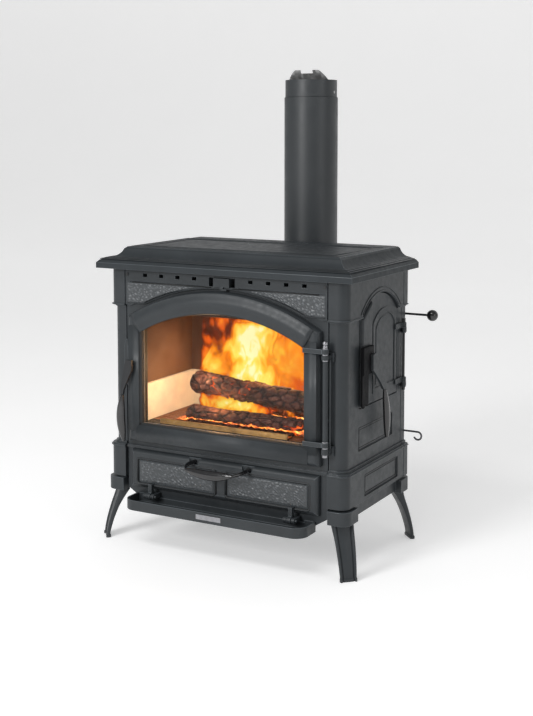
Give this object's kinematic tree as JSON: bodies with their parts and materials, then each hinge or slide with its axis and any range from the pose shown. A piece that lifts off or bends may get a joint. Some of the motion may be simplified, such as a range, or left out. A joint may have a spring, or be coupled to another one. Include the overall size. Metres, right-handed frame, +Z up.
{
  "type": "wood burning stove",
  "caption": "Cast-iron wood burning stove with an arched glazed door, a side loading door, an ash door with a tray, splayed legs and a rear flue pipe",
  "frame": {"origin": "on the floor, under the middle of the whole object's box", "axes": "+X to the right of someone facing the stove, the front faces -Y, +Z up"},
  "size_m": [0.8018, 0.641, 1.2484],
  "materials": {
    "anthracite_casting": "matt thermal paint over a fine sand-cast grain",
    "black_iron": "bare dark iron, matt",
    "black_steel": "satin black paint",
    "flue_enamel": "matt anthracite flue enamel",
    "galvanised": "dull zinc",
    "bright_steel": "turned steel",
    "gloss_black": "gloss black",
    "knob_plastic": "moulded gloss black",
    "liner_steel": "heat-stained liner plate",
    "firebrick": "pale fired vermiculite",
    "glass": "clear ceramic glass",
    "rope": "woven glass rope",
    "brassy": "heat-tinted brass tone",
    "plate_alloy": "plain printed-free alloy"
  },
  "bodies": {
    "stove": {"air_inlet": "black_steel", "ash_lugs": "anthracite_casting", "ash_pan": "black_steel", "baffle": "firebrick", "base_frame": "anthracite_casting", "blank_plate": "plate_alloy", "blanking_cover": "anthracite_casting", "firebox_floor": "black_iron", "firebox_liner": "liner_steel", "firebricks": "firebrick", "flue_cap": "flue_enamel", "flue_collar": "flue_enamel", "flue_pipe": "flue_enamel", "flue_tee": "flue_enamel", "front_plate": "anthracite_casting", "front_tray": "anthracite_casting", "gate_case": "black_steel", "grate": "black_iron", "hinge_brackets": "anthracite_casting", "hinge_pin": "bright_steel", "hinge_tube": "black_steel", "hinge_washers": "bright_steel", "joint_seals": "rope", "latch_keeper": "anthracite_casting", "leg_front_left": "anthracite_casting", "leg_front_right": "anthracite_casting", "leg_rear_left": "anthracite_casting", "leg_rear_right": "anthracite_casting", "log_retainer": "brassy", "plate_screws": "bright_steel", "rear_panel": "anthracite_casting", "side_hinge_brackets": "anthracite_casting", "side_hinge_pin": "bright_steel", "side_left": "anthracite_casting", "side_right": "anthracite_casting", "side_throat": "black_iron", "slider_guides": "black_steel", "top_plate": "anthracite_casting"},
    "main_door": {"door_frame": "anthracite_casting", "door_glass": "glass", "glass_seal": "rope", "hinge_arms": "anthracite_casting"},
    "main_handle": {"handle_arm": "black_steel", "handle_grip": "gloss_black"},
    "ash_door": {"ash_door": "anthracite_casting", "ash_straps": "anthracite_casting", "ash_handle": "gloss_black"},
    "side_door": {"side_door": "anthracite_casting", "side_hinge_arms": "anthracite_casting", "side_latch_housing": "black_steel"},
    "side_handle": {"side_handle_arm": "black_steel", "side_handle_grip": "gloss_black"},
    "air_slider": {"air_slider": "black_steel", "slider_knob": "black_steel"},
    "flue_damper": {"damper_plate": "galvanised"},
    "flue_gate": {"gate_rod": "black_steel", "gate_knob": "knob_plastic"},
    "air_shutter": {"wire_pull": "bright_steel"}
  },
  "joints": [
    {"name": "main_door_hinge", "type": "hinge", "parent": "stove", "child": "main_door", "pos_m": [0.2704, -0.2597, 0.44], "axis": [0, 0, 1], "range_deg": [0, 120]},
    {"name": "main_handle_turn", "type": "hinge", "parent": "main_door", "child": "main_handle", "pos_m": [-0.2876, -0.2537, 0.475], "axis": [0, 1, 0], "range_deg": [0, 40]},
    {"name": "ash_door_hinge", "type": "hinge", "parent": "stove", "child": "ash_door", "pos_m": [-0.0256, -0.2697, 0.133], "axis": [1, 0, 0], "range_deg": [0, 90]},
    {"name": "side_door_hinge", "type": "hinge", "parent": "stove", "child": "side_door", "pos_m": [0.3204, 0.1023, 0.51], "axis": [0, 0, 1], "range_deg": [0, 90]},
    {"name": "side_handle_turn", "type": "hinge", "parent": "side_door", "child": "side_handle", "pos_m": [0.3244, -0.1157, 0.512], "axis": [1, 0, 0], "range_deg": [0, 40]},
    {"name": "air_slider_travel", "type": "slide", "parent": "stove", "child": "air_slider", "axis": [1, 0, 0], "range_m": [-0.01, 0.01]},
    {"name": "flue_damper_turn", "type": "hinge", "parent": "stove", "child": "flue_damper", "pos_m": [-0.0256, 0.2443, 1.187], "axis": [-1, 0, 0], "range_deg": [-29, 26]},
    {"name": "flue_gate_travel", "type": "slide", "parent": "stove", "child": "flue_gate", "axis": [1, 0, 0], "range_m": [-0.045, 0.045]},
    {"name": "air_shutter_travel", "type": "slide", "parent": "stove", "child": "air_shutter", "axis": [1, 0, 0], "range_m": [0, 0.05]}
  ]
}
